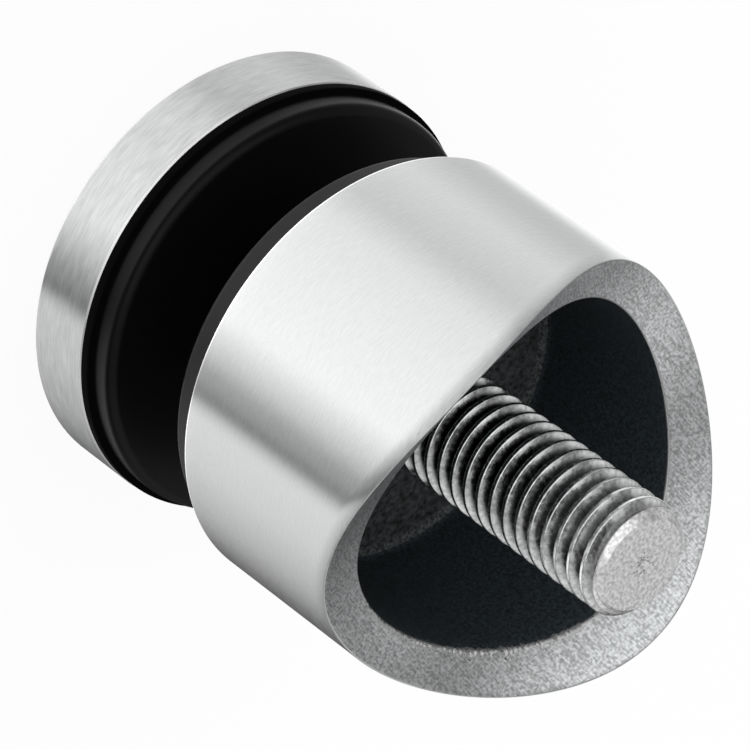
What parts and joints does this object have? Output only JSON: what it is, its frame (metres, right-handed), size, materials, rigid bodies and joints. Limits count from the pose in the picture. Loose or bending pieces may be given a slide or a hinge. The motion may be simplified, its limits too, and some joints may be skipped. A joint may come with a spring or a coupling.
{
  "type": "glass panel standoff",
  "caption": "Round point fixing for a glass panel: clamping disc, stud and rubber gaskets, with a cup-shaped spacer cut to saddle on a round post.",
  "frame": {"origin": "centre of the clamping disc's outer face, on the common axis", "axes": "+Z along the common axis, from the disc to the stud's free end; the post would lie along Y, so the spacer's ears point up at +X and -X"},
  "size_m": [0.03, 0.03, 0.042],
  "materials": {
    "disc_steel": "stainless steel, turned and brushed round the axis",
    "stud_steel": "stainless steel, bright rolled thread",
    "spacer_steel": "brushed outside, machined matt on the saddle, dark and rough inside the cup",
    "gasket_rubber": "black moulded rubber, matt",
    "bush_plastic": "black moulded plastic, matt"
  },
  "bodies": {
    "clamp_head": {"clamping_disc": "disc_steel", "stud": "stud_steel", "disc_gasket": "gasket_rubber", "glass_bush": "bush_plastic"},
    "ring": {"spacer_gasket": "gasket_rubber"},
    "standoff": {"spacer": "spacer_steel"}
  },
  "joints": [
    {"name": "glass_gap_slide", "type": "slide", "parent": "clamp_head", "child": "ring", "axis": [0, 0, 1], "range_m": [0, 0.006]},
    {"name": "spacer_turn", "type": "hinge", "parent": "ring", "child": "standoff", "pos_m": [0, 0, 0.0157], "axis": [0, 0, 1], "continuous": true}
  ]
}
